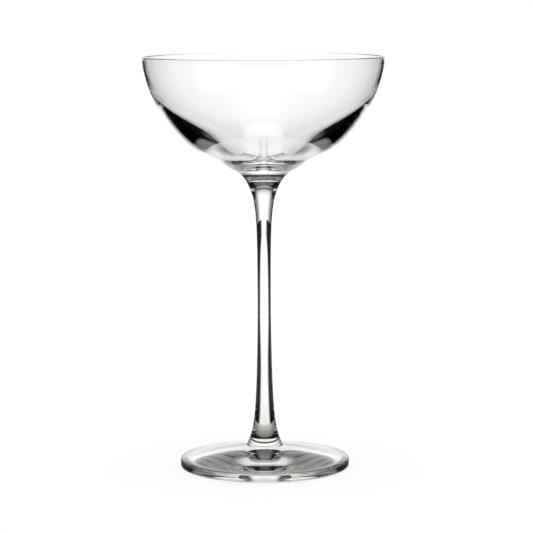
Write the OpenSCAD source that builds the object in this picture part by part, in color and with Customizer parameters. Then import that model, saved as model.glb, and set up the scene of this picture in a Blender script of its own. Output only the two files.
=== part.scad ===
// Coupe glass: a wide blown bowl, a drawn stem and a pressed foot, fused to one another at
// two flat joint faces. Every piece is turned about the Z axis. The foot rests on z = 0.

/* [Bowl] */
// Outside diameter of the bowl at the rim
rim_d = 96; // [84:1:112]
// Height of the bowl from the stem joint to the rim
bowl_h = 46; // [40:0.5:56]
// Thickness of the wall at the rim
rim_wall = 1; // [0.8:0.1:2.2]
// Thickness of the wall at the bottom of the hollow
floor_wall = 4.25; // [3:0.25:6]
// How far up the side the thick part of the wall reaches: more is higher
wall_reach = 7; // [5:0.5:9]
// How soon the wall thins above that: more is sooner
wall_thinning = 4; // [3:0.25:6]
// Fullness of the outside curve: 2 is an ellipse, and less is straighter
bowl_fullness = 1.67; // [1.6:0.01:2]
// Height of the thickening that carries the bowl down to the stem
collar_h = 1.5; // [0.8:0.1:3]
// Distance outwards in which that thickening dies away
collar_run = 3.25; // [2:0.25:7]

/* [Stem] */
// Length of the stem from the foot joint to the bowl joint
stem_l = 109.5; // [80:0.5:140]
// Diameter of the stem at its waist, the narrowest place
waist_d = 5.3; // [4.5:0.1:7]
// Height of the waist above the foot joint
waist_h = 61.5; // [45:0.5:70]
// Diameter of the bowl joint
stem_top_d = 19.6; // [16:0.1:24]
// Distance downwards in which the flare under the bowl dies away
top_flare = 7; // [5:0.25:10]
// Diameter of the foot joint
stem_heel_d = 14.7; // [13:0.1:20]
// Growth in diameter of the long taper from the waist down to the heel
heel_taper = 3.2; // [1:0.1:5]
// Distance upwards in which the flare at the heel dies away
heel_flare = 6; // [3:0.25:8]

/* [Foot] */
// Diameter of the foot
foot_d = 67.5; // [58:0.5:84]
// Height of the foot at the stem
foot_h = 8.5; // [7:0.25:11]
// Thickness of the foot at its edge
foot_edge = 3.6; // [2:0.1:5]
// Radius of the two rounded corners of the edge
edge_round = 0.9; // [0.5:0.1:1.9]
// Sweep of the top face: 1 is a cone, and more is a trumpet
foot_sweep = 1.1; // [1:0.05:2]
// Width of the flat ring that stands on the table
ring_w = 2.5; // [2:0.25:8]
// Height of the hollow under the foot
recess_h = 1.6; // [1:0.1:4]
// Fullness of that hollow: 2 is a plain dish, and more is flatter in the middle
recess_fullness = 2.4; // [1.8:0.1:3.5]

/* [Hidden] */
$fn = 180;
curve_steps = 48;
stem_steps = 96;
round_steps = 10;
quarter_turn = 90;
half_turn = 180;
clear_glass = [0.86, 0.9, 0.9, 0.45];

// Heights of the two joint faces and of the rim
foot_joint_z = foot_h;
bowl_joint_z = foot_joint_z + stem_l;
rim_z = bowl_joint_z + bowl_h;

// The lip is a half round on the end of the wall
rim_r = rim_d / 2;
lip_r = rim_wall / 2;
lip_z = rim_z - lip_r;

// Radii of the stem at its joints and waist, and what each flare adds
top_r = stem_top_d / 2;
heel_r = stem_heel_d / 2;
waist_r = waist_d / 2;
taper_r = heel_taper / 2;
top_growth = top_r - waist_r;
heel_growth = heel_r - waist_r - taper_r;

// Angle of the bowl's curve at the stem joint, and the depth of that curve below the lip
joint_angle = asin(top_r / rim_r);
bowl_depth = (lip_z - bowl_joint_z - collar_h) / pow(cos(joint_angle), 2 / bowl_fullness);

// Radii of the foot's edge, resting ring and hollow
foot_r = foot_d / 2;
corner_r = min(edge_round, foot_edge / 2);
corner_at = foot_r - corner_r;
recess_r = corner_at - ring_w;

// Height on a bowl curve at an angle: 0 is the lowest point and 90 degrees is the lip
function curve_z(angle, depth) = lip_z - depth * pow(max(cos(angle), 0), 2 / bowl_fullness);

// Thickness of the wall at an angle: even under the rim, and thick round the bottom
function wall(angle) =
    rim_wall + (floor_wall - rim_wall) * pow(1 - pow(sin(angle), wall_reach), wall_thinning);

// Extra depth of glass at a radius, where the bowl runs down into the stem
function collar(r) = collar_h * exp(-(r - top_r) / collar_run);

// Outside of the bowl at an angle, from the stem joint to the lip
function bowl_point(angle) =
    let (r = rim_r * sin(angle))
    [r, curve_z(angle, bowl_depth) - collar(r)];

// Hollow of the bowl at an angle, from its lowest point to the lip
function hollow_point(angle) =
    let (thickness = wall(angle))
    [(rim_r - thickness) * sin(angle), curve_z(angle, bowl_depth - thickness)];

// Radius of the stem at a height above the foot joint: waist, long taper and two flares
function stem_r(h) =
    let (taper = max(waist_h - h, 0) / waist_h)
    waist_r + taper_r * taper * taper
    + heel_growth * exp(-h / heel_flare)
    + top_growth * exp(-(stem_l - h) / top_flare);

// Top of the foot at a share of the way from the stem out to the edge
function foot_point(share) =
    let (rise = pow(1 - share, foot_sweep))
    [heel_r + (corner_at - heel_r) * share, foot_edge + (foot_h - foot_edge) * rise];

// Hollow under the foot at a share of the way from the resting ring in to the middle
function recess_point(share) =
    let (r = recess_r * (1 - share))
    [r, recess_h * (1 - pow(r / recess_r, recess_fullness))];

// Points of an arc about a centre, after its first point
function arc_points(centre, radius, from, to) =
    [for (i = [1 : round_steps])
        let (angle = from + (to - from) * i / round_steps)
        centre + radius * [cos(angle), sin(angle)]];

module bowl() {
    outside = [for (i = [0 : curve_steps])
        bowl_point(joint_angle + (quarter_turn - joint_angle) * i / curve_steps)];
    lip = arc_points([rim_r - lip_r, lip_z], lip_r, 0, half_turn);
    hollow = [for (i = [curve_steps - 1 : -1 : 0])
        hollow_point(quarter_turn * i / curve_steps)];
    color(clear_glass)
        rotate_extrude()
            polygon(concat([[0, bowl_joint_z]], outside, lip, hollow));
}

module stem() {
    side = [for (i = [0 : stem_steps])
        let (h = stem_l * i / stem_steps)
        [stem_r(h), foot_joint_z + h]];
    color(clear_glass)
        rotate_extrude()
            polygon(concat([[0, foot_joint_z]], side, [[0, bowl_joint_z]]));
}

module foot() {
    top = [for (i = [0 : curve_steps]) foot_point(i / curve_steps)];
    upper_corner = arc_points([corner_at, foot_edge - corner_r], corner_r, quarter_turn, 0);
    lower_corner = arc_points([corner_at, corner_r], corner_r, 0, -quarter_turn);
    underside = [for (i = [0 : curve_steps]) recess_point(i / curve_steps)];
    color(clear_glass)
        rotate_extrude()
            polygon(concat([[0, foot_h]], top, upper_corner, [[foot_r, corner_r]],
                lower_corner, underside));
}

bowl();
stem();
foot();
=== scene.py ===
# %% [markdown]
# # A coupe glass in clear glass
#
# This lesson dresses a stemmed coupe: a wide blown bowl, a slender drawn stem and a pressed foot.
# The construction is already done elsewhere and arrives as a fixed frame, in metres, with +Z up.
# Blender adds what the frame lacks: surfaces smooth enough to refract, the glass itself, and a
# studio that glass can be seen in. Everything below is worked out from the frame's own boxes and
# from a few named sizes.

# %% Load the frame
import math

import bpy
import numpy as np
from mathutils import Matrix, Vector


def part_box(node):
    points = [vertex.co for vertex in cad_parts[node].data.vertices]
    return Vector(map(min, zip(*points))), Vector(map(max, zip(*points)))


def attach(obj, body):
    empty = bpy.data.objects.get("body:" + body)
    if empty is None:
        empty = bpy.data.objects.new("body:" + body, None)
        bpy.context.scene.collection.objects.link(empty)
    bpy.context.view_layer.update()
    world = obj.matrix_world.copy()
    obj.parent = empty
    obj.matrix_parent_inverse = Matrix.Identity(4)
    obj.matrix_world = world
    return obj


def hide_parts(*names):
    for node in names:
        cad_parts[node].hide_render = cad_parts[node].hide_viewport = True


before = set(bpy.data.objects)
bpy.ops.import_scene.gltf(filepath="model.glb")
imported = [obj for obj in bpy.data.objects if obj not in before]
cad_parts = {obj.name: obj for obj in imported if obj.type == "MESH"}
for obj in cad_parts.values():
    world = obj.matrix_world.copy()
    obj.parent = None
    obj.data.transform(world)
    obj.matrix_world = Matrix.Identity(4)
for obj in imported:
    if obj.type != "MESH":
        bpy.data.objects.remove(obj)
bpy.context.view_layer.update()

MM = 0.001

# %% [markdown]
# ## Where the pieces meet
#
# The three gathers of glass were fused hot, at two flat joints. Their heights and the main radii
# could be typed in again, but a number that is written twice soon disagrees with itself, so they
# are read from the boxes of the frame's nodes.

# %% Read the joints and the main radii
bowl_low, bowl_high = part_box("bowl")
stem_low, stem_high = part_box("stem")
foot_low, foot_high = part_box("foot")

rim_z = bowl_high.z
bowl_joint_z = stem_high.z
foot_joint_z = stem_low.z
rim_r = max(bowl_high.x, bowl_high.y)
top_r = max(stem_high.x, stem_high.y)
foot_r = max(foot_high.x, foot_high.y)
stem_l = bowl_joint_z - foot_joint_z
print("joints at", round(foot_joint_z / MM, 2), "and", round(bowl_joint_z / MM, 2), "mm")

# %% [markdown]
# ## Turning a profile
#
# Every piece of this glass is a body of revolution. Blender has a Screw modifier and a spin
# operator for that, but both leave seams to weld and give no hold on single rings. Here a profile
# of radius and height is turned with array arithmetic: all rings at once, one closed skin, a
# single vertex at each pole. The faces of a fused joint lie inside the glass, so they take a
# second material, and the ring round them stays a sharp edge, because a normal that is averaged
# over that corner would bend the light there.

# %% The turning function
AROUND = 256


def turned(name, profile, low_joint=False, high_joint=False):
    """Turns a profile about Z. Its first and last points lie on the axis and become the poles.
    Point j of ring i lies at radius r_i, height z_i and angle 2 pi j / AROUND. low_joint and
    high_joint say whether the first or last stretch is a fused joint face."""
    rings = profile[1:-1]
    count = len(rings)
    angle = np.arange(AROUND) * (2 * np.pi / AROUND)
    points = np.empty((count, AROUND, 3))
    points[:, :, 0] = rings[:, :1] * np.cos(angle)
    points[:, :, 1] = rings[:, :1] * np.sin(angle)
    points[:, :, 2] = rings[:, 1:]
    poles = np.array([[0, 0, profile[0, 1]], [0, 0, profile[-1, 1]]])
    low_pole = count * AROUND
    high_pole = low_pole + 1

    ring, step = np.meshgrid(np.arange(count - 1), np.arange(AROUND), indexing="ij")
    after = (step + 1) % AROUND
    here = ring * AROUND
    above = here + AROUND
    quads = np.stack([here + step, here + after, above + after, above + step], -1).reshape(-1, 4)
    around = np.arange(AROUND)
    onward = (around + 1) % AROUND
    last = (count - 1) * AROUND
    low_fan = np.stack([np.full(AROUND, low_pole), onward, around], 1)
    high_fan = np.stack([np.full(AROUND, high_pole), last + around, last + onward], 1)

    mesh = bpy.data.meshes.new(name)
    corners = np.concatenate([points.reshape(-1, 3), poles])
    mesh.from_pydata(corners.tolist(), [], quads.tolist() + low_fan.tolist() + high_fan.tolist())
    mesh.polygons.foreach_set("use_smooth", np.ones(len(mesh.polygons), bool))

    slots = np.zeros(len(mesh.polygons), np.int32)
    slots[len(quads):len(quads) + AROUND] = int(low_joint)
    slots[len(quads) + AROUND:] = int(high_joint)
    mesh.polygons.foreach_set("material_index", slots)

    ends = np.empty(len(mesh.edges) * 2, np.int32)
    mesh.edges.foreach_get("vertices", ends)
    ring_of = ends.reshape(-1, 2) // AROUND
    level = ring_of[:, 0] == ring_of[:, 1]
    low_edge = level & (ring_of[:, 0] == 0) & low_joint
    high_edge = level & (ring_of[:, 0] == count - 1) & high_joint
    sharp = mesh.attributes.new("sharp_edge", "BOOLEAN", "EDGE")
    sharp.data.foreach_set("value", low_edge | high_edge)

    mesh.validate()
    mesh.update()
    piece = bpy.data.objects.new(name, mesh)
    bpy.context.scene.collection.objects.link(piece)
    print(name, "has", len(mesh.polygons), "faces, and", int((low_edge | high_edge).sum()), "sharp edges")
    return piece


# %% [markdown]
# ## The blown bowl
#
# The bowl is blown and spun open, so its wall is thin and even under the rim and grows thick round
# the bottom. A Solidify modifier would make one thickness everywhere, but the place where the wall
# starts to thicken is where the bowl turns from clear to dark, so the thickness is a formula of
# its own. The outside is a superellipse with a collar that dies away from the stem, and the lip is
# a half round, as a flame leaves it.

# %% Make the bowl
BOWL_STEPS = 100
LIP_STEPS = 16
rim_wall = 1.0 * MM
floor_wall = 4.25 * MM
wall_reach = 7
wall_thinning = 4
bowl_fullness = 1.67
collar_h = 1.5 * MM
collar_run = 3.25 * MM

lip_r = rim_wall / 2
lip_z = rim_z - lip_r
joint_turn = math.asin(top_r / rim_r)
bowl_depth = (lip_z - bowl_joint_z - collar_h) / math.cos(joint_turn) ** (2 / bowl_fullness)


def superellipse(turn, inset):
    """The outside curve drawn in by an inset: radius times sin(turn), and a depth below the lip times
    cos(turn) to the power 2 / fullness."""
    fall = np.clip(np.cos(turn), 0, None) ** (2 / bowl_fullness)
    return np.stack([(rim_r - inset) * np.sin(turn), lip_z - (bowl_depth - inset) * fall], 1)


def wall_thickness(turn):
    """The rim's wall, plus a thickening of (1 - sin(turn) to the power reach) to the power thinning."""
    return rim_wall + (floor_wall - rim_wall) * (1 - np.sin(turn) ** wall_reach) ** wall_thinning


def bowl_profile():
    """Joint face, outside with its collar, half-round lip, and hollow down to the axis."""
    outside = superellipse(np.linspace(joint_turn, np.pi / 2, BOWL_STEPS), 0)
    outside[:, 1] -= collar_h * np.exp(-(outside[:, 0] - top_r) / collar_run)
    round_turn = np.linspace(0, np.pi, LIP_STEPS + 1)[1:]
    lip = np.stack([rim_r - lip_r + lip_r * np.cos(round_turn), lip_z + lip_r * np.sin(round_turn)], 1)
    hollow_turn = np.linspace(np.pi / 2, 0, BOWL_STEPS)[1:]
    hollow = superellipse(hollow_turn, wall_thickness(hollow_turn))
    return np.concatenate([[[0, bowl_joint_z]], outside, lip, hollow])


blown_bowl = turned("blown_bowl", bowl_profile(), low_joint=True)
print("hollow's lowest point in mm:", round((lip_z - bowl_depth + floor_wall) / MM, 2))

# %% [markdown]
# ## The drawn stem
#
# The stem is pulled out of a hot gather, so it thins to a waist and flares at both ends. A few
# control points on a curve would do, but each flare is one decaying exponential and the long
# taper is one parabola, which is how glass under its own pull really runs.

# %% Make the stem
STEM_STEPS = 180
waist_r = 2.65 * MM
waist_h = 61.5 * MM
top_flare = 7 * MM
heel_r = 7.35 * MM
heel_taper = 1.6 * MM
heel_flare = 6 * MM


def stem_profile():
    """Radius at a height: the waist, plus a parabola below it, plus one exponential at each end."""
    height = np.linspace(0, stem_l, STEM_STEPS)
    below_waist = np.clip(waist_h - height, 0, None) / waist_h
    heel = (heel_r - waist_r - heel_taper) * np.exp(-height / heel_flare)
    top = (top_r - waist_r) * np.exp(-(stem_l - height) / top_flare)
    side = np.stack([waist_r + heel_taper * below_waist ** 2 + heel + top, foot_joint_z + height], 1)
    return np.concatenate([[[0, foot_joint_z]], side, [[0, bowl_joint_z]]])


drawn_stem = turned("drawn_stem", stem_profile(), low_joint=True, high_joint=True)
print("waist of the stem in mm:", round(2 * waist_r / MM, 2))

# %% [markdown]
# ## The pressed foot
#
# The foot is a gather pressed flat and spun. Its top sweeps up to the stem, its edge is a small
# upright band with two rounded corners, and underneath a shallow hollow leaves only a narrow ring
# to stand on. That hollow matters to the eye: it bends what is seen through the foot.

# %% Make the foot
FOOT_STEPS = 64
CORNER_STEPS = 12
RING_STEPS = 6
foot_edge = 3.6 * MM
edge_round = 0.9 * MM
foot_sweep = 1.1
ring_w = 2.5 * MM
recess_h = 1.6 * MM
recess_fullness = 2.4

corner_at = foot_r - edge_round
recess_r = corner_at - ring_w


def corner(centre_z, start, end):
    """A quarter round about a point on the corner circle, from one angle to another."""
    turn = np.linspace(start, end, CORNER_STEPS)
    return np.stack([corner_at + edge_round * np.cos(turn), centre_z + edge_round * np.sin(turn)], 1)


def foot_profile():
    """Hollow underneath, resting ring, lower corner, upper corner, and the sweep up to the joint."""
    share = np.linspace(0, 1, FOOT_STEPS)
    recess = np.stack([recess_r * share, recess_h * (1 - share ** recess_fullness)], 1)
    ring_at = np.linspace(recess_r, corner_at, RING_STEPS)[1:-1]
    ring = np.stack([ring_at, np.zeros_like(ring_at)], 1)
    lower = corner(edge_round, -np.pi / 2, 0)
    upper = corner(foot_edge - edge_round, 0, np.pi / 2)
    rise = (foot_joint_z - foot_edge) * share[1:] ** foot_sweep
    top = np.stack([corner_at - (corner_at - heel_r) * share[1:], foot_edge + rise], 1)
    return np.concatenate([recess, ring, lower, upper, top, [[0, foot_joint_z]]])


pressed_foot = turned("pressed_foot", foot_profile(), high_joint=True)
print("resting ring in mm:", round(2 * recess_r / MM, 1), "to", round(2 * corner_at / MM, 1))

# %% [markdown]
# ## What hot forming leaves in glass
#
# No hand-made glass is optically perfect. It keeps shallow waves from blowing, drawing or
# spinning, and a breath of colour that comes and goes. Each of the three pieces shows the same
# effect at another scale and in another direction, so it is one node group, with the stretch of
# the waves and the thickness of the glass as inputs. The waves are a height for a Bump node, and
# the colour is a warm tint so faint that only thick glass shows it.

# %% The forming-waves group
WATER_WHITE = (1.0, 0.997, 0.993, 1.0)
THICK_GLASS = (0.92, 0.9, 0.868, 1.0)
USUAL_WAVES = 60
TINT_PATCHES = 25
NOISE_DETAIL = 1


def forming_waves_group():
    """Two noises on stretched Object coordinates: a long one for the waves, a longer one for the tint."""
    group = bpy.data.node_groups.new("forming_waves", "ShaderNodeTree")
    stretch = group.interface.new_socket("Stretch", in_out="INPUT", socket_type="NodeSocketVector")
    stretch.default_value = (1, 1, 1)
    scale = group.interface.new_socket("Waves per metre", in_out="INPUT", socket_type="NodeSocketFloat")
    scale.default_value = USUAL_WAVES
    thick = group.interface.new_socket("Thickness", in_out="INPUT", socket_type="NodeSocketFloat")
    thick.default_value = 1
    group.interface.new_socket("Waves", in_out="OUTPUT", socket_type="NodeSocketFloat")
    group.interface.new_socket("Tint", in_out="OUTPUT", socket_type="NodeSocketColor")
    nodes = group.nodes
    links = group.links
    given = nodes.new("NodeGroupInput")
    result = nodes.new("NodeGroupOutput")
    place = nodes.new("ShaderNodeTexCoord")
    stretched = nodes.new("ShaderNodeVectorMath")
    stretched.operation = "MULTIPLY"
    waves = nodes.new("ShaderNodeTexNoise")
    waves.inputs["Detail"].default_value = NOISE_DETAIL
    patches = nodes.new("ShaderNodeTexNoise")
    patches.inputs["Scale"].default_value = TINT_PATCHES
    patches.inputs["Detail"].default_value = NOISE_DETAIL
    depth = nodes.new("ShaderNodeMath")
    depth.operation = "MULTIPLY"
    tint = nodes.new("ShaderNodeMix")
    tint.data_type = "RGBA"
    tint.inputs["A"].default_value = WATER_WHITE
    tint.inputs["B"].default_value = THICK_GLASS
    links.new(place.outputs["Object"], stretched.inputs[0])
    links.new(given.outputs["Stretch"], stretched.inputs[1])
    links.new(stretched.outputs["Vector"], waves.inputs["Vector"])
    links.new(given.outputs["Waves per metre"], waves.inputs["Scale"])
    links.new(place.outputs["Object"], patches.inputs["Vector"])
    links.new(patches.outputs["Fac"], depth.inputs[0])
    links.new(given.outputs["Thickness"], depth.inputs[1])
    links.new(depth.outputs[0], tint.inputs["Factor"])
    links.new(waves.outputs["Fac"], result.inputs["Waves"])
    links.new(tint.outputs["Result"], result.inputs["Tint"])
    return group


forming_waves = forming_waves_group()
print("group sockets:", [item.name for item in forming_waves.interface.items_tree])

# %% [markdown]
# ## The glass and its fused joints
#
# The glass is one Principled shader with full transmission and the refractive index of crystal.
# A Glass shader would look much the same here, but the Principled one also carries over to other
# programs. The three gathers are one body of glass once they are fused, so nothing may be seen at
# their joints. A joint face with an index of 1 would still cut rays off, so the joint faces are
# clear by their alpha instead.

# %% Make the materials
CRYSTAL_INDEX = 1.51
BLOWN_STRETCH = (1, 1, 0.5)
BLOWN_WAVES = 45
BLOWN_DEPTH = 0.012 * MM
BLOWN_THICKNESS = 0.2
DRAWN_STRETCH = (1, 1, 0.12)
DRAWN_WAVES = 160
DRAWN_DEPTH = 0.005 * MM
PRESSED_STRETCH = (1, 1, 1)
PRESSED_WAVES = 70
PRESSED_DEPTH = 0.004 * MM
SOLID_THICKNESS = 1.6


def clear_glass(name, stretch, waves_per_metre, wave_depth, thickness):
    """Clear glass with the forming waves of one piece. wave_depth is the height of a wave in metres,
    and thickness is how much of the tint shows, from 0 in a thin wall up."""
    material = bpy.data.materials.new(name)
    material.use_nodes = True
    nodes = material.node_tree.nodes
    links = material.node_tree.links
    shader = nodes["Principled BSDF"]
    shader.inputs["Roughness"].default_value = 0
    shader.inputs["IOR"].default_value = CRYSTAL_INDEX
    shader.inputs["Transmission Weight"].default_value = 1
    waves = nodes.new("ShaderNodeGroup")
    waves.node_tree = forming_waves
    waves.inputs["Stretch"].default_value = stretch
    waves.inputs["Waves per metre"].default_value = waves_per_metre
    waves.inputs["Thickness"].default_value = thickness
    bump = nodes.new("ShaderNodeBump")
    bump.inputs["Strength"].default_value = 1
    bump.inputs["Distance"].default_value = wave_depth
    links.new(waves.outputs["Waves"], bump.inputs["Height"])
    links.new(bump.outputs["Normal"], shader.inputs["Normal"])
    links.new(waves.outputs["Tint"], shader.inputs["Base Color"])
    return material


def fused_joint():
    """The inside of a fused joint: an alpha of 0, so light runs straight on from piece to piece."""
    material = bpy.data.materials.new("fused_joint")
    material.use_nodes = True
    shader = material.node_tree.nodes["Principled BSDF"]
    shader.inputs["Base Color"].default_value = WATER_WHITE
    shader.inputs["Roughness"].default_value = 0
    shader.inputs["Alpha"].default_value = 0
    return material


joint_glass = fused_joint()
blown_glass = clear_glass("blown_glass", BLOWN_STRETCH, BLOWN_WAVES, BLOWN_DEPTH, BLOWN_THICKNESS)
drawn_glass = clear_glass("drawn_glass", DRAWN_STRETCH, DRAWN_WAVES, DRAWN_DEPTH, SOLID_THICKNESS)
pressed_glass = clear_glass(
    "pressed_glass", PRESSED_STRETCH, PRESSED_WAVES, PRESSED_DEPTH, SOLID_THICKNESS
)
print("materials:", [m.name for m in (blown_glass, drawn_glass, pressed_glass, joint_glass)])

# %% [markdown]
# ## Putting the pieces on the frame
#
# Each new surface stands for one node of the frame. It rides on the frame's only body and hides the
# plain solid.

# %% Dress the frame
for piece, glass, node in (
    (blown_bowl, blown_glass, "bowl"),
    (drawn_stem, drawn_glass, "stem"),
    (pressed_foot, pressed_glass, "foot"),
):
    piece.data.materials.append(glass)
    piece.data.materials.append(joint_glass)
    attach(piece, "root")
    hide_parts(node)
    print(piece.name, "replaces", node)

# %% [markdown]
# ## The camera
#
# The glass is round, so every side is its front, and only the height and the distance of the
# camera matter. They follow from the two ellipses of the rim and the foot: how flat each one looks
# gives the angle down, and how much flatter the rim is than the foot gives the distance. The
# camera stands at a corner of the frame, so that the studio's dark sides fall between the other
# directions from which the glass is looked at.

# %% Place the camera
# The lens and the sensor are in millimetres.
CAMERA_TURN = math.radians(225)
CAMERA_AWAY = 900.4 * MM
CAMERA_HEIGHT = 191.4 * MM
CAMERA_ASIDE = 1.39 * MM
CAMERA_DOWN = math.radians(7.017)
CAMERA_ROLL = math.radians(0.22)
CAMERA_LENS = 153.75
CAMERA_SENSOR = 36

camera_data = bpy.data.cameras.new("camera")
camera_data.sensor_width = CAMERA_SENSOR
camera_data.lens = CAMERA_LENS
camera = bpy.data.objects.new("camera", camera_data)
bpy.context.scene.collection.objects.link(camera)
turn_cos = math.cos(CAMERA_TURN)
turn_sin = math.sin(CAMERA_TURN)
camera.location = (
    CAMERA_ASIDE * turn_cos + CAMERA_AWAY * turn_sin,
    CAMERA_ASIDE * turn_sin - CAMERA_AWAY * turn_cos,
    CAMERA_HEIGHT,
)
camera.rotation_euler = (math.pi / 2 - CAMERA_DOWN, CAMERA_ROLL, CAMERA_TURN)
bpy.context.scene.camera = camera
print("camera at", [round(value, 3) for value in camera.location])

# %% [markdown]
# ## A bright field for glass
#
# Clear glass has no colour of its own: it shows its surroundings, bent. Photographers therefore
# light the background and not the glass. Straight behind it lies a bright field, and to both sides
# of that field the room is dark, so the edges, which bend the light most, turn dark and draw the
# outline. Real cards would do it, but a field that fades softly is easier as a rule about
# directions. The table and the room share one node group for it, which says how far to the side of
# the camera's line of sight a place lies.

# %% Node arithmetic and the bearing group


class Sums:
    """Writes arithmetic in a node tree: each method adds the nodes for one sum and returns a socket."""

    def __init__(self, tree):
        self.tree = tree

    def feed(self, value, socket):
        """Links a socket, or sets a plain number."""
        if isinstance(value, bpy.types.NodeSocket):
            self.tree.links.new(value, socket)
        else:
            socket.default_value = value

    def math(self, operation, *values):
        """One Math node on up to three values."""
        node = self.tree.nodes.new("ShaderNodeMath")
        node.operation = operation
        for place, value in enumerate(values):
            self.feed(value, node.inputs[place])
        return node.outputs[0]

    def ramp(self, value, start, end, low, high):
        """A smooth step from low at start to high at end."""
        node = self.tree.nodes.new("ShaderNodeMapRange")
        node.interpolation_type = "SMOOTHSTEP"
        for place, given in enumerate((value, start, end, low, high)):
            self.feed(given, node.inputs[place])
        return node.outputs[0]

    def band(self, value, middle, full, end):
        """1 within full of the middle, falling smoothly to 0 at end."""
        off = self.math("ABSOLUTE", self.math("SUBTRACT", value, middle))
        return self.ramp(off, full, end, 1, 0)

    def split(self, vector):
        """The three parts of a vector."""
        node = self.tree.nodes.new("ShaderNodeSeparateXYZ")
        self.feed(vector, node.inputs[0])
        return node.outputs


def bearing_group():
    """Turns a vector into the camera's own room: its bearing from straight ahead in degrees, from 0
    to 180, and its distance from the axis."""
    group = bpy.data.node_groups.new("room_bearing", "ShaderNodeTree")
    group.interface.new_socket("Vector", in_out="INPUT", socket_type="NodeSocketVector")
    for name in ("Bearing", "Distance"):
        group.interface.new_socket(name, in_out="OUTPUT", socket_type="NodeSocketFloat")
    given = group.nodes.new("NodeGroupInput")
    result = group.nodes.new("NodeGroupOutput")
    facing = group.nodes.new("ShaderNodeVectorRotate")
    facing.rotation_type = "Z_AXIS"
    facing.inputs["Angle"].default_value = -CAMERA_TURN
    group.links.new(given.outputs["Vector"], facing.inputs["Vector"])
    sums = Sums(group)
    right, ahead, _ = sums.split(facing.outputs["Vector"])
    turn = sums.math("ARCTAN2", sums.math("ABSOLUTE", right), ahead)
    across = sums.math("ADD", sums.math("MULTIPLY", right, right), sums.math("MULTIPLY", ahead, ahead))
    sums.feed(sums.math("DEGREES", turn), result.inputs["Bearing"])
    sums.feed(sums.math("SQRT", across), result.inputs["Distance"])
    return group


room_bearing = bearing_group()
print("bearing group:", [item.name for item in room_bearing.interface.items_tree])

# %% [markdown]
# ## The room
#
# The world is the room. The camera sees it plain white. Reflections and refractions see the bright
# field behind the glass, which fades to both sides and upwards, a low grey card at each end of that
# field, two low windows that lie straight behind the glass for a viewer at another side, and a dim
# ceiling. The cards are about as grey as the painted shade under the foot: the foot mixes the two in
# thin streaks, and like greys make its middle even. Diffuse light gets an even grey, which lights the
# table at a plain level.

# %% Make the room
# Levels are shares of white. Bearings and heights are in degrees.
FIELD_LEVEL = 1.15
ROOM_FIELD_FULL = 13
ROOM_FIELD_END = 41
FIELD_TOP_FULL = 12
FIELD_TOP_END = 34
CEILING_LEVEL = 0.15
CEILING_START = 55
CEILING_FULL = 65
WINDOW_BEARING = 135
WINDOW_FULL = 14
WINDOW_END = 30
WINDOW_TOP_FULL = 4
WINDOW_TOP_END = 9
CARD_LEVEL = 0.27
CARD_BEARING = 40
CARD_FULL = 6
CARD_END = 14
CARD_TOP_FULL = 10
CARD_TOP_END = 20
ROOM_AMBIENT = 0.75
ROOM_WHITE = (1, 1, 1, 1)

world = bpy.data.worlds.new("room")
bpy.context.scene.world = world
world.use_nodes = True
world_tree = world.node_tree
sums = Sums(world_tree)
direction = world_tree.nodes.new("ShaderNodeTexCoord").outputs["Generated"]
facing = world_tree.nodes.new("ShaderNodeGroup")
facing.node_tree = room_bearing
world_tree.links.new(direction, facing.inputs["Vector"])
bearing = facing.outputs["Bearing"]
height = sums.math("DEGREES", sums.math("ARCSINE", sums.split(direction)[2]))
field = sums.math(
    "MULTIPLY",
    sums.ramp(bearing, ROOM_FIELD_FULL, ROOM_FIELD_END, FIELD_LEVEL, 0),
    sums.ramp(height, FIELD_TOP_FULL, FIELD_TOP_END, 1, 0),
)
window = sums.math(
    "MULTIPLY",
    sums.band(bearing, WINDOW_BEARING, WINDOW_FULL, WINDOW_END),
    sums.ramp(height, WINDOW_TOP_FULL, WINDOW_TOP_END, 1, 0),
)
card = sums.math(
    "MULTIPLY",
    sums.band(bearing, CARD_BEARING, CARD_FULL, CARD_END),
    sums.ramp(height, CARD_TOP_FULL, CARD_TOP_END, CARD_LEVEL, 0),
)
ceiling = sums.ramp(height, CEILING_START, CEILING_FULL, 0, CEILING_LEVEL)
behind = sums.math("MAXIMUM", field, card)
seen_in_glass = sums.math("MAXIMUM", sums.math("MAXIMUM", behind, window), ceiling)
path = world_tree.nodes.new("ShaderNodeLightPath").outputs
in_glass = sums.math("MAXIMUM", path["Is Glossy Ray"], path["Is Transmission Ray"])
plain = sums.ramp(path["Is Camera Ray"], 0, 1, ROOM_AMBIENT, 1)
strength = sums.math(
    "ADD",
    sums.math("MULTIPLY", in_glass, seen_in_glass),
    sums.math("MULTIPLY", sums.math("SUBTRACT", 1, in_glass), plain),
)
sums.feed(strength, world_tree.nodes["Background"].inputs["Strength"])
world_tree.nodes["Background"].inputs["Color"].default_value = ROOM_WHITE
print("room: field", FIELD_LEVEL, "windows at", WINDOW_BEARING, "degrees, ambient", ROOM_AMBIENT)
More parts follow.
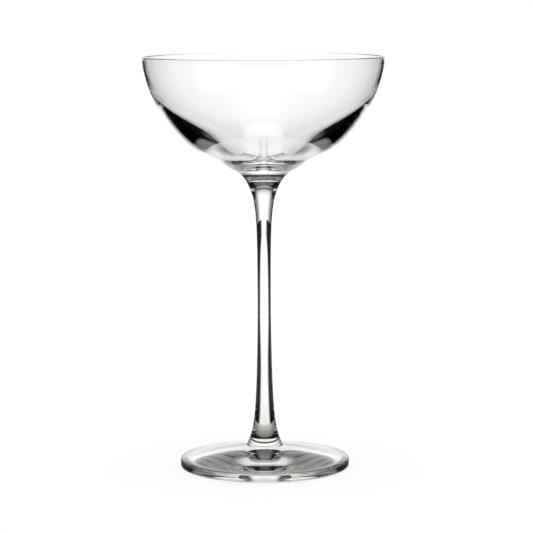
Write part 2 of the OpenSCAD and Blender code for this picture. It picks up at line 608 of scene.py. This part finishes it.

# %% [markdown]
# ## The table
#
# The table is a plain white disc. To the camera it is mostly its own white, with a share of real
# diffuse shading near the glass, so the soft shadow stays. In the glass it shows painted light: a
# bright field behind, cut to a shape like a sheet of paper: widest a short way behind the glass, so
# the stem gets a broad bright core, and slim both close by and far off, so the bowl keeps a dark
# outline. Under the foot a painted shade stands in for its shadow, which gives the foot its grey middle.

# %% Make the table
# Levels are shares of white. Distances are in metres, and bearings are in degrees.
TABLE_R = 4.0
TABLE_RINGS = 40
TABLE_DROP = 0.02 * MM
TABLE_WHITE = (0.93, 0.93, 0.93, 1)
NO_COLOUR = (0, 0, 0, 1)
SHADE_SHARE = 0.2
SHADE_FULL = 0.06
SHADE_END = 0.16
FIELD_CLOSE = 0.18
FIELD_NEAR = 0.4
FIELD_FAR = 1.3
CLOSE_FIELD_FULL = 12
CLOSE_FIELD_END = 24
NEAR_FIELD_FULL = 20
NEAR_FIELD_END = 36
FAR_FIELD_FULL = 9
FAR_FIELD_END = 16
SIDE_LEVEL = 0.08
SIDE_START = 50
SIDE_FULL = 75
FRONT_LEVEL = 0.85
FRONT_START = 130
FRONT_FULL = 172
FRONT_NEAR = 0.5
FRONT_FAR = 0.9
STRIP_NEAR = 0.15
STRIP_FAR = 0.3
# Painted shade under the foot: the table's glow in the glass is dimmed there as a stand-in for the foot's
# shadow.
PAINTED_SHADE_MIDDLE = 0.05
PAINTED_SHADE_HEEL = 0.2
PAINTED_SHADE_EDGE = 0.45
MIDDLE_R = 7 * MM
HEEL_R = 13 * MM
UNDER_R = 32 * MM
OUTSIDE_R = 36 * MM
# The level of the painted shade just outside the foot.
PAINTED_SHADE_OUTSIDE = 0.85
OPEN_R = 140 * MM


def table_mesh():
    """A flat disc of rings whose radii grow with the square of their number, turned about Z."""
    radius = TABLE_R * np.linspace(0, 1, TABLE_RINGS + 1)[1:, None] ** 2
    angle = np.arange(AROUND) * (2 * np.pi / AROUND)
    points = np.empty((TABLE_RINGS, AROUND, 3))
    points[:, :, 0] = radius * np.cos(angle)
    points[:, :, 1] = radius * np.sin(angle)
    points[:, :, 2] = -TABLE_DROP
    ring, step = np.meshgrid(np.arange(TABLE_RINGS - 1) * AROUND, np.arange(AROUND), indexing="ij")
    after = (step + 1) % AROUND
    quads = np.stack([ring + step, ring + AROUND + step, ring + AROUND + after, ring + after], -1)
    around = np.arange(AROUND)
    centre = np.full(AROUND, TABLE_RINGS * AROUND)
    fan = np.stack([centre, around, (around + 1) % AROUND], 1)
    mesh = bpy.data.meshes.new("table")
    corners = np.concatenate([points.reshape(-1, 3), [[0, 0, -TABLE_DROP]]])
    mesh.from_pydata(corners.tolist(), [], quads.reshape(-1, 4).tolist() + fan.tolist())
    return mesh


def table_in_glass(sums, facing):
    """How bright the table is in the glass: the painted bright field behind, which is widest at
    FIELD_NEAR, the dim sides, the front, the window strips, and a painted shade under and round the foot,
    which is darkest in the middle."""
    bearing = facing["Bearing"]
    away = facing["Distance"]
    # The painted bright field in the glass: its width changes with the distance from the glass.
    near_full = sums.ramp(away, FIELD_CLOSE, FIELD_NEAR, CLOSE_FIELD_FULL, NEAR_FIELD_FULL)
    near_end = sums.ramp(away, FIELD_CLOSE, FIELD_NEAR, CLOSE_FIELD_END, NEAR_FIELD_END)
    field_full = sums.ramp(away, FIELD_NEAR, FIELD_FAR, near_full, FAR_FIELD_FULL)
    field_end = sums.ramp(away, FIELD_NEAR, FIELD_FAR, near_end, FAR_FIELD_END)
    behind = sums.ramp(bearing, field_full, field_end, FIELD_LEVEL, 0)
    sides = sums.ramp(bearing, SIDE_START, SIDE_FULL, 0, SIDE_LEVEL)
    front = sums.math("MAXIMUM", sides, sums.ramp(bearing, FRONT_START, FRONT_FULL, 0, FRONT_LEVEL))
    front = sums.math("MULTIPLY", front, sums.ramp(away, FRONT_NEAR, FRONT_FAR, 1, 0))
    strip = sums.math(
        "MULTIPLY",
        sums.band(bearing, WINDOW_BEARING, WINDOW_FULL, WINDOW_END),
        sums.ramp(away, STRIP_NEAR, STRIP_FAR, 0, 1),
    )
    lit = sums.math("MAXIMUM", sums.math("MAXIMUM", behind, front), strip)
    # Painted shade round the foot: the glow fades in from OUTSIDE_R out to OPEN_R.
    around = sums.math("MULTIPLY", lit, sums.ramp(away, OUTSIDE_R, OPEN_R, PAINTED_SHADE_OUTSIDE, 1))
    # Painted shade under the foot, darkest in the middle; the lamp does not cast it.
    painted_foot_shade = sums.math(
        "MULTIPLY",
        sums.ramp(away, HEEL_R, UNDER_R, PAINTED_SHADE_HEEL, PAINTED_SHADE_EDGE),
        sums.ramp(away, MIDDLE_R, HEEL_R, PAINTED_SHADE_MIDDLE, 1),
    )
    return sums.ramp(away, UNDER_R, OUTSIDE_R, painted_foot_shade, around)


def table_material():
    """White to the camera with a share of diffuse shading, and the painted bright field and shade in the
    glass.
    """
    material = bpy.data.materials.new("white_table")
    material.use_nodes = True
    material.cycles.emission_sampling = "NONE"
    tree = material.node_tree
    tree.nodes.clear()
    sums = Sums(tree)
    facing = tree.nodes.new("ShaderNodeGroup")
    facing.node_tree = room_bearing
    sums.feed(tree.nodes.new("ShaderNodeTexCoord").outputs["Object"], facing.inputs["Vector"])
    path = tree.nodes.new("ShaderNodeLightPath").outputs
    in_glass = sums.math("MAXIMUM", path["Is Glossy Ray"], path["Is Transmission Ray"])
    share = sums.ramp(facing.outputs["Distance"], SHADE_FULL, SHADE_END, SHADE_SHARE, 0)
    own_white = sums.math("MULTIPLY", path["Is Camera Ray"], sums.math("SUBTRACT", 1, share))
    glass_white = sums.math("MULTIPLY", in_glass, table_in_glass(sums, facing.outputs))
    glow = tree.nodes.new("ShaderNodeEmission")
    sums.feed(sums.math("ADD", own_white, glass_white), glow.inputs["Strength"])
    matt = tree.nodes.new("ShaderNodeBsdfDiffuse")
    matt.inputs["Color"].default_value = TABLE_WHITE
    nothing = tree.nodes.new("ShaderNodeBsdfDiffuse")
    nothing.inputs["Color"].default_value = NO_COLOUR
    shaded = tree.nodes.new("ShaderNodeMixShader")
    sums.feed(sums.math("MULTIPLY", share, sums.math("SUBTRACT", 1, in_glass)), shaded.inputs[0])
    sums.feed(nothing.outputs[0], shaded.inputs[1])
    sums.feed(matt.outputs[0], shaded.inputs[2])
    both = tree.nodes.new("ShaderNodeAddShader")
    sums.feed(glow.outputs[0], both.inputs[0])
    sums.feed(shaded.outputs[0], both.inputs[1])
    output = tree.nodes.new("ShaderNodeOutputMaterial")
    sums.feed(both.outputs[0], output.inputs["Surface"])
    return material


table = bpy.data.objects.new("table", table_mesh())
table.data.materials.append(table_material())
bpy.context.scene.collection.objects.link(table)
print("table:", len(table.data.polygons), "faces")

# %% [markdown]
# ## One soft lamp
#
# The lamp hangs over the table and gives the foot its soft shadow. It doesn't show in the glass,
# because the bright field already does that work.

# %% Hang the lamp
LAMP_SIDE = 0.8
LAMP_HEIGHT = 1.2
LAMP_WATTS = 8.0

lamp_data = bpy.data.lights.new("soft_lamp", "AREA")
lamp_data.shape = "SQUARE"
lamp_data.size = LAMP_SIDE
lamp_data.energy = LAMP_WATTS
lamp = bpy.data.objects.new("soft_lamp", lamp_data)
lamp.location = (0, 0, LAMP_HEIGHT)
lamp.visible_camera = False
lamp.visible_glossy = False
lamp.visible_transmission = False
bpy.context.scene.collection.objects.link(lamp)
print("lamp:", LAMP_WATTS, "W at", LAMP_HEIGHT, "m")

# %% [markdown]
# ## Tracing light through glass
#
# A ray through a stemmed glass crosses many skins before it leaves, and a ray that is cut off too
# soon turns black. So the bounces are raised well above the defaults.

# %% Set the bounces and the view
BOUNCES = 24

scene = bpy.context.scene
scene.cycles.max_bounces = BOUNCES
scene.cycles.transmission_bounces = BOUNCES
scene.cycles.glossy_bounces = BOUNCES
scene.view_settings.view_transform = "Standard"
print("bounces:", scene.cycles.max_bounces)
